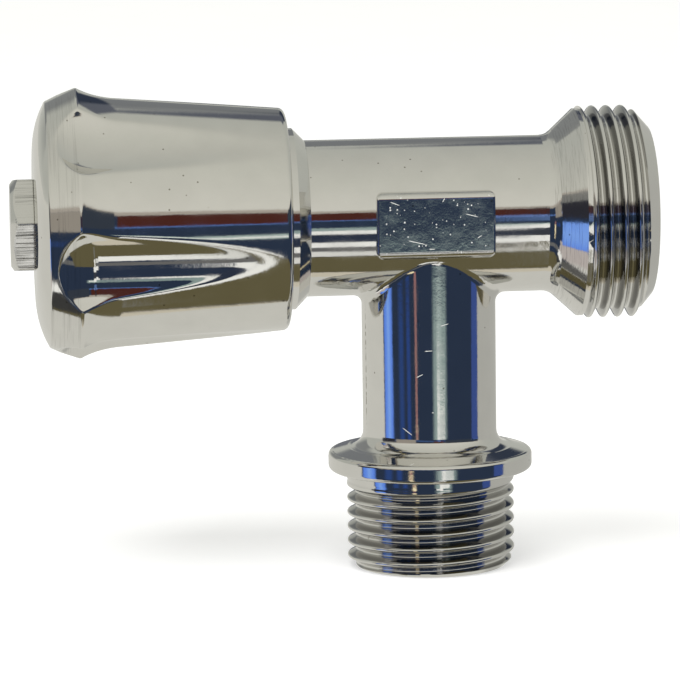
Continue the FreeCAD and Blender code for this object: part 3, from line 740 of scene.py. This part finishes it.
def chrome(name, colour, haze, grain_depth, tooled=(), rubbed=(), scratched=(), stained=(), rim=()):
    """Plated metal with haze from low to high, orange peel, pits, and boxes that hold its single faults."""
    material, tree, shader = new_material(name)
    spots = add(tree, "ShaderNodeTexCoord").outputs["Object"]
    cloud = noise(tree, spots, CLOUD_SCALE, 4)
    seeds = add(tree, "ShaderNodeTexVoronoi", Vector=spots, Scale=PIT_SCALE).outputs["Distance"]
    pits = measured(tree, seeds, 0.03, 0.075, 1.0, 0.0)
    rough = measured(tree, cloud, 0.3, 0.7, *haze)
    tone = ramp(tree, cloud, [(0.25, shaded(colour, 0.94)), (0.75, colour)])
    tone = tinted(tree, tone, PIT_COLOUR, times(tree, pits, 0.7))
    # Painted shade: thread flanks are coloured darker, as shade in the grooves.
    painted_flank_shade = add(tree, "ShaderNodeAttribute", {"attribute_name": "painted_flank_shade"}).outputs["Fac"]
    tone = tinted(tree, tone, shaded(colour, FLANK_SHADE), painted_flank_shade)
    bared = None
    normal = bump(tree, noise(tree, spots, GRAIN_SCALE, 2, 0.6), grain_depth * MM)
    normal = bump(tree, noise(tree, spots, PEEL_SCALE, 2), grain_depth * 3 * MM, under=normal)
    if rim:
        normal = bump(tree, rolled_rim(tree, spots, *rim), 1.0, under=normal)
    for middle, half, scale, depth, dark, bore in tooled:
        mask = times(tree, inside_box(tree, spots, middle, half, soft=0.12), outside(tree, spots, bore))
        lines = times(tree, mask, noise(tree, stretched(tree, spots, scale), 1, 3, 0.6))
        strokes = times(tree, measured(tree, lines, 0.48, 0.66), dark)
        normal = bump(tree, lines, depth * MM, under=normal)
        rough = math_of(tree, "ADD", rough, times(tree, strokes, 0.25))
        tone = tinted(tree, tone, shaded(colour, STROKE_SHADE), strokes)
    for middle, half in rubbed:
        mask = inside_box(tree, spots, middle, half, soft=0.05)
        patches = measured(tree, noise(tree, spots, 330, 4, 0.7), 0.42, 0.70, 0.05, 0.10)
        grit = add(tree, "ShaderNodeTexVoronoi", Vector=spots, Scale=2300.0)
        chance = add(tree, "ShaderNodeSeparateColor", Color=grit.outputs["Color"]).outputs[0]
        size = measured(tree, chance, 0.55, 1.0, 0.0, 0.26)
        past = math_of(tree, "SUBTRACT", grit.outputs["Distance"], size)
        specks = measured(tree, past, -0.06, 0.02, 1.0, 0.0)
        clear = math_of(tree, "SUBTRACT", 1.0, mask)
        rough = math_of(tree, "ADD", times(tree, rough, clear), times(tree, mask, patches))
        bared = either(tree, bared, times(tree, mask, specks))
    for middle, half, turn in scratched:
        bared = either(tree, bared, inside_box(tree, spots, middle, half, turn, 0.5))
    for middle, half in stained:
        mask = inside_box(tree, spots, middle, half, soft=0.6)
        broken = times(tree, mask, measured(tree, noise(tree, spots, 1500, 3), 0.42, 0.55))
        tone = tinted(tree, tone, STAIN_COLOUR, broken)
    shader.inputs["Metallic"].default_value = 1.0
    if bared is not None:
        rough = math_of(tree, "MAXIMUM", rough, times(tree, bared, 0.7))
        tone = tinted(tree, tone, BARED_COLOUR, bared)
        tree.links.new(math_of(tree, "SUBTRACT", 1.0, bared), shader.inputs["Metallic"])
    tree.links.new(tone, shader.inputs["Base Color"])
    tree.links.new(rough, shader.inputs["Roughness"])
    tree.links.new(normal, shader.inputs["Normal"])
    return material


def finish_with(material, *pieces):
    for piece in pieces:
        piece.data.materials.clear()
        piece.data.materials.append(material)


pit_gap = 1 / PIT_SCALE / MM
print("Pits lie about %.1f mm apart, and thread flanks keep %.2f of the colour" % (pit_gap, FLANK_SHADE))

# %% Plate on the tee, the handle and the screw
FLARE_RINGS = (7000, 260, 260)
BEVEL_RINGS = (4300, 110, 110)
BAR_LINES = (90, 4200, 4200)
SCRATCH_HALF_WIDTH = 0.055
panel_scratches = [((-5.1, 2.8), 0.68, 22), ((4.35, 1.15), 0.9, 15), ((-2.4, -2.05), 1.3, 14),
                   ((5.3, -1.5), 0.35, -28), ((0.9, 3.1), 0.3, -60), ((-0.6, -2.9), 0.4, 4)]
stem_scratches = [((1.05, 19.2), 0.6, -14), ((-0.95, 16.0), 0.55, -3), ((-2.05, 12.9), 0.5, -26),
                  ((-3.6, 5.9), 0.8, 38), ((-0.5, 8.3), 0.14, 0)]
scratched = [((across, -10.1, AXIS + up), (reach, 0.4, SCRATCH_HALF_WIDTH), (0, math.radians(turn), 0))
             for (across, up), reach, turn in panel_scratches]
scratched += [((across, -8.0, up), (reach, 1.0, SCRATCH_HALF_WIDTH), (0, math.radians(turn), 0))
              for (across, up), reach, turn in stem_scratches]
chrome_body = chrome(
    "chrome_body", (0.80, 0.79, 0.76), (0.04, 0.10), 0.0016,
    tooled=[((16.7, 0, AXIS), (2.2, 14, 14), FLARE_RINGS, 0.004, 0.3, 8.5)],
    rubbed=[((0, -10.2, AXIS), (7.1, 0.35, 3.9))],
    scratched=scratched,
    stained=[((-7.6, -2.0, 13.2), (1.2, 0.12, 9))],
    rim=((0, -10.2, AXIS), 4.1, 0.9))
chrome_handle = chrome(
    "chrome_handle", (0.80, 0.79, 0.755), (0.035, 0.085), 0.0012,
    tooled=[((-45.5, 0, AXIS), (2.0, 18, 18), BEVEL_RINGS, 0.0025, 0.2, 0)])
chrome_screw = chrome(
    "chrome_screw", (0.78, 0.77, 0.74), (0.10, 0.18), 0.0015,
    tooled=[((-47.4, 0, AXIS), (4.25, 8, 8), BAR_LINES, 0.006, 0.7, 0)])
plated = [(chrome_body, forging), (chrome_handle, handle), (chrome_screw, screw)]
for material, piece in plated:
    finish_with(material, piece)
print("Chrome on %d pieces, with %d scratches on the tee" % (len(plated), len(scratched)))

# %% [markdown]
# ## The works inside
# The headwork is plain turned brass with tool marks round its axis, sealed by a red fibre ring, greased
# packing and a rubber washer. Little of it shows unless the handle is unscrewed, so its shapes stay those of
# the solid model, but each part still gets its own finish.

# %% Brass, fibre, packing, rubber and steel
def turned_brass():
    material, tree, shader = new_material("brass")
    spots = add(tree, "ShaderNodeTexCoord").outputs["Object"]
    cloud = noise(tree, spots, 420, 4)
    rings = noise(tree, stretched(tree, spots, (6500, 300, 300)), 1, 2, 0.5)
    tone = ramp(tree, cloud, [(0.3, (0.62, 0.42, 0.16)), (0.7, (0.80, 0.60, 0.29))])
    tree.links.new(tone, shader.inputs["Base Color"])
    tree.links.new(measured(tree, cloud, 0.3, 0.7, 0.22, 0.36), shader.inputs["Roughness"])
    shader.inputs["Metallic"].default_value = 1.0
    tree.links.new(bump(tree, rings, 0.006 * MM), shader.inputs["Normal"])
    return material


def matt(name, dark, light, scale, roughness, depth):
    """A dull material mottled between two colours."""
    material, tree, shader = new_material(name)
    spots = add(tree, "ShaderNodeTexCoord").outputs["Object"]
    cloud = noise(tree, spots, scale, 5, 0.6)
    tree.links.new(ramp(tree, cloud, [(0.3, dark), (0.7, light)]), shader.inputs["Base Color"])
    tree.links.new(measured(tree, cloud, 0.3, 0.7, roughness, roughness + 0.12), shader.inputs["Roughness"])
    tree.links.new(bump(tree, cloud, depth * MM), shader.inputs["Normal"])
    return material


def drawn_wire():
    material, tree, shader = new_material("spring_steel")
    spots = add(tree, "ShaderNodeTexCoord").outputs["Object"]
    cloud = noise(tree, spots, 1800, 4)
    tree.links.new(ramp(tree, cloud, [(0.3, 0.36), (0.7, 0.54)]), shader.inputs["Base Color"])
    tree.links.new(measured(tree, cloud, 0.3, 0.7, 0.25, 0.4), shader.inputs["Roughness"])
    shader.inputs["Metallic"].default_value = 1.0
    return material


brass = turned_brass()
fibre = matt("fibre", (0.30, 0.07, 0.04), (0.48, 0.16, 0.10), 1400, 0.72, 0.03)
packing = matt("packing", (0.55, 0.52, 0.44), (0.80, 0.78, 0.70), 2200, 0.6, 0.05)
rubber = matt("rubber", (0.02, 0.02, 0.02), (0.05, 0.05, 0.05), 1600, 0.6, 0.02)
finish_with(brass, *(nodes[name] for name in
                     ("bonnet", "gland_ring", "gland_nut", "spindle", "jumper", "washer_nut")))
finish_with(fibre, nodes["bonnet_washer"])
finish_with(packing, nodes["gland_packing"])
finish_with(rubber, nodes["jumper_washer"])
finish_with(drawn_wire(), nodes["jumper_ring"])
print("Finished %d inner solids" % (len(nodes) - len(plated)))

# %% [markdown]
# ## The studio
# Chrome is only as good as what it sees. Real cards and lamps could stand all round, but a room painted by
# direction weighs nothing and is tuned strip by strip: pale paper above, behind and below, and in front the
# dim side of a room with a blue window, a rust-brown shelf and bright slits, which give the bands along the
# barrel, the stem and the flutes. The camera itself sees plain white behind the part.

# %% Directions in the room
world = bpy.data.worlds.new("studio")
bpy.context.scene.world = world
world.use_nodes = True
room = world.node_tree
way = add(room, "ShaderNodeSeparateXYZ", Vector=add(room, "ShaderNodeTexCoord").outputs["Generated"])
toward = math_of(room, "MULTIPLY", way.outputs["Y"], -1.0)
angles = [math_of(room, "ARCSINE", way.outputs["Z"]), math_of(room, "ARCSINE", way.outputs["X"]),
          math_of(room, "ARCTAN2", way.outputs["X"], toward)]
height, side, bearing = (math_of(room, "MULTIPLY", angle, 180 / math.pi) for angle in angles)
overhead = math_of(room, "ARCTAN2", way.outputs["Z"], toward)
overhead = measured(room, overhead, 0, math.pi, kind="LINEAR")
NAVY = (0.026, 0.040, 0.075)
RUST = (0.08, 0.024, 0.018)
OLIVE = (0.135, 0.118, 0.062)
TAN = (0.66, 0.61, 0.50)
WINDOW_BLUE = (0.14, 0.30, 0.95)
BRIGHT = (1.0, 1.0, 0.97)
BLACKENED = (0.03, 0.03, 0.04)
BACK_GREY = (0.20, 0.21, 0.22)


def window(value, start, end, soft):
    """1 between start and end, 0 outside, with soft edges."""
    rise = measured(room, value, start - soft, start + soft)
    fall = measured(room, value, end - soft, end + soft)
    return math_of(room, "SUBTRACT", rise, fall)


def both(first, second):
    return times(room, first, second)


DIM_ROOM = (NAVY, RUST, OLIVE, TAN, WINDOW_BLUE, BRIGHT, BLACKENED, BACK_GREY)
print("Pale paper and %d colours of a dim room" % len(DIM_ROOM))

# %% [markdown]
# ### Strips by height, bearing and side
# A level cylinder mirrors the room as bands by height, and an upright one as bands by compass bearing. Along the
# barrel, a third angle stays the same all round it: how far a ray leans to the side. So each strip is a row of a
# table, with its heights, its reach to either side in degrees, and its colour. Later rows lie over earlier ones.

# %% Strips of the room in front
walls = ramp(room, overhead, [(0.10, (0.71, 0.70, 0.64)), (0.33, (0.62, 0.62, 0.56)),
                              (0.5, (0.56, 0.56, 0.51)), (0.72, (0.49, 0.50, 0.46))])
seen = tinted(room, walls, (0.66, 0.655, 0.61), measured(room, height, 4, -4))
seen = tinted(room, seen, (0.48, 0.48, 0.45), both(window(height, -45, 12, 5), window(bearing, 80, 160, 5)))
ahead = window(bearing, -90, 84.5, 1.2)
for low, high, soft, colour in [
    (-89, -78, 1.0, TAN),
    (-79, 15.5, 0.8, NAVY),
    (13.2, 16.5, 0.8, (0.45, 0.41, 0.36)),
    (2.0, 3.4, 0.4, (0.10, 0.20, 0.50)),
    (-79, -52, 1.2, OLIVE),
    (-43, -37, 0.8, (0.16, 0.16, 0.16)),
]:
    seen = tinted(room, seen, colour, both(ahead, window(height, low, high, soft)))

for low, high, left, right, soft, colour in [
    (3.0, 13.2, 1, 17, 1.0, RUST),
    (9, 15, -95, -68, 1.5, (0.22, 0.22, 0.21)),
    (-3, 9, -95, -68, 1.5, BLACKENED),
    (-26, -6.5, -88, -71, 2.2, WINDOW_BLUE),
    (-26, -6.5, -82, -76, 3.0, (0.24, 0.44, 1.0)),
    (-38, -26, -95, -66, 1.5, (0.55, 0.50, 0.48)),
    (-46, -38, -95, -60, 1.5, BRIGHT),
    (-56, -46, -95, -60, 1.5, (0.05, 0.05, 0.05)),
    (-12, -7.9, -58, -50, 3.0, (0.03, 0.07, 0.24)),
    (-12, -7.9, -44, -38, 2.0, (0.03, 0.07, 0.26)),
    (-1, 13.2, -66, -30, 2.0, (0.34, 0.31, 0.27)),
    (-10.6, -6, -29.6, -26.2, 0.5, (0.34, 0.17, 0.17)),
    (-30, -10.6, -30.5, -25, 0.8, (1.0, 0.86, 0.55)),
    (-12.2, -7.9, 1, 23, 3.0, (0.30, 0.39, 0.38)),
    (-12.2, -7.9, 8, 15, 3.0, (0.42, 0.52, 0.50)),
    (-14, 2, 71, 84.5, 1.0, (0.05, 0.09, 0.30)),
]:
    seen = tinted(room, seen, colour, both(window(height, low, high, 0.4), window(bearing, left, right, soft)))
print("Room in front has %d nodes so far" % len(room.nodes))

# %% Bright slits, the back of the room, and what the camera sees
facing = measured(room, toward, 0.0, 0.02)
for low, high, left, right, colour in [
    (1.5, 15.5, 20, 70, (0.04, 0.05, 0.07)),
    (-4.2, 4.5, 7.0, 11, (0.10, 0.17, 0.36)),
    (1.5, 4.5, 7.0, 11, (0.22, 0.36, 0.8)),
    (-15, -12.4, 2.4, 3.9, BRIGHT),
    (-17.7, -12.2, 3.9, 7.0, BRIGHT),
    (-15, -9.3, 7.0, 11, BRIGHT),
    (-11.2, -9.8, 11, 20, BRIGHT),
    (-29.4, -17.7, 3.6, 7.0, (0.03, 0.04, 0.07)),
    (-25.8, -15, 7.0, 11, (0.05, 0.055, 0.07)),
    (-36.9, -29.4, 3.6, 7.0, BRIGHT),
    (-35.3, -25.8, 7.0, 11, BRIGHT),
    (-74.5, -35.3, 7.0, 40, OLIVE),
    (1.5, 15.5, 7.9, 9.6, BLACKENED),
    (-50, -28, 7.9, 9.6, BRIGHT),
    (-74.5, -50, 8.1, 9.6, (0.20, 0.195, 0.17)),
    (-51.5, -43, 3.6, 7.0, (0.80, 0.80, 0.77)),
    (-55, -45.5, -0.8, 3.6, BRIGHT),
]:
    strip = both(window(height, low, high, 0.5), window(side, left, right, 0.25))
    seen = tinted(room, seen, colour, both(strip, facing))

for low, high, soft, left, right, colour in [
    (-14, 7.5, 1.5, 172, 181, (0.16, 0.17, 0.19)),
    (14, 41, 1.5, 171.5, 190, BACK_GREY),
    (16, 41, 3, -190, -173, BACK_GREY),
    (8, 36, 6, -173, -140, (0.24, 0.25, 0.25)),
    (17, 50, 3, 150, 171.5, (0.12, 0.13, 0.16)),
    (17, 33, 3, 150, 171.5, (0.035, 0.045, 0.07)),
]:
    seen = tinted(room, seen, colour, both(window(height, low, high, soft), window(bearing, left, right, 2)))
path = add(room, "ShaderNodeLightPath")
seen = tinted(room, seen, (1.0, 1.0, 1.0), path.outputs["Is Camera Ray"])
room.links.new(seen, room.nodes["Background"].inputs["Color"])
print("Studio painted with %d nodes" % len(room.nodes))

# %% [markdown]
# ## Floor and lamps
# The floor is plain white paper a hair below the inlet, lit by the room and one broad lamp. More light would
# make it white, but would also burn out the part. So the paper shows the camera a little light of its own,
# most in its far half, and comes out white with the soft shadow kept. The chrome sees the painted room in its
# place.

# %% Paper floor and a broad lamp
FLOOR_GAP = 0.00005
NEAR_GLOW = 0.465
FAR_GLOW = 0.53
bpy.ops.object.select_all(action="DESELECT")
bpy.ops.mesh.primitive_plane_add(size=2.4, location=(0, 0.4, cad_box[0].z - FLOOR_GAP))
floor = bpy.context.object
floor.name = "paper_floor"
bpy.ops.object.transform_apply()
open_mesh(floor)
bpy.ops.mesh.select_all(action="SELECT")
bpy.ops.mesh.subdivide(number_cuts=3)
close_mesh()
floor.visible_glossy = False
floor_paper = bpy.data.materials.new("paper")
floor_paper.use_nodes = True
tree = floor_paper.node_tree
tree.nodes.remove(tree.nodes["Principled BSDF"])
spots = add(tree, "ShaderNodeTexCoord").outputs["Object"]
fleck = ramp(tree, noise(tree, spots, 60, 4), [(0.3, 0.80), (0.7, 0.82)])
matte = add(tree, "ShaderNodeBsdfDiffuse", Color=fleck)
path = add(tree, "ShaderNodeLightPath")
rays = math_of(tree, "MAXIMUM", path.outputs["Is Camera Ray"], path.outputs["Is Glossy Ray"])
rays = math_of(tree, "MAXIMUM", rays, path.outputs["Is Transmission Ray"])
depth_in = add(tree, "ShaderNodeSeparateXYZ", Vector=spots).outputs["Y"]
strength = times(tree, rays, measured(tree, depth_in, 0.05, 0.5, NEAR_GLOW, FAR_GLOW))
glow = add(tree, "ShaderNodeEmission", Color=(0.985, 0.985, 1.0, 1.0), Strength=strength)
both_shaders = add(tree, "ShaderNodeAddShader", i0=matte.outputs[0], i1=glow.outputs[0])
tree.links.new(both_shaders.outputs[0], tree.nodes["Material Output"].inputs["Surface"])
finish_with(floor_paper, floor)

lamp = bpy.data.lights.new("broad_lamp", "AREA")
lamp.shape = "DISK"
lamp.size = 0.5
lamp.energy = 3.2
lamp_holder = bpy.data.objects.new("broad_lamp", lamp)
bpy.context.scene.collection.objects.link(lamp_holder)
lamp_holder.location = (-0.18, -0.30, 0.62)
aim = Vector((0, 0, 0.02)) - lamp_holder.location
lamp_holder.rotation_euler = aim.to_track_quat("-Z", "Y").to_euler()
lamp_holder.visible_glossy = False
print("Floor at %.2f mm" % (floor.data.vertices[0].co.z / MM))

# %% [markdown]
# ## The camera
# The part is seen from arm's length through a long lens, so its far end comes out a little smaller. A near, wide
# lens would stretch the handle. The camera stands to the handle's side and a little above, which shows the
# handle's screw and the front curve of each thread.

# %% Lens from the handle's side
VIEW_BEARING = math.radians(-5.05)
VIEW_HEIGHT = math.radians(8.7)
VIEW_ROLL = math.radians(-0.78)
VIEW_DISTANCE = 0.5549
VIEW_MIDDLE = Vector((-11.14, 0, 16.42)) * MM
lens = bpy.data.cameras.new("camera")
lens.lens = 235.5
lens.sensor_width = 36
lens.clip_start = 0.05
lens.clip_end = 10
camera = bpy.data.objects.new("camera", lens)
bpy.context.scene.collection.objects.link(camera)
away = Vector((math.sin(VIEW_BEARING) * math.cos(VIEW_HEIGHT),
               -math.cos(VIEW_BEARING) * math.cos(VIEW_HEIGHT), math.sin(VIEW_HEIGHT)))
camera.location = VIEW_MIDDLE + away * VIEW_DISTANCE
turn = (-away).to_track_quat("-Z", "Y") @ Quaternion((0, 0, 1), VIEW_ROLL)
camera.rotation_euler = turn.to_euler()
bpy.context.scene.camera = camera
bpy.context.scene.view_settings.view_transform = "Standard"
print("Camera %.2f m off" % VIEW_DISTANCE)
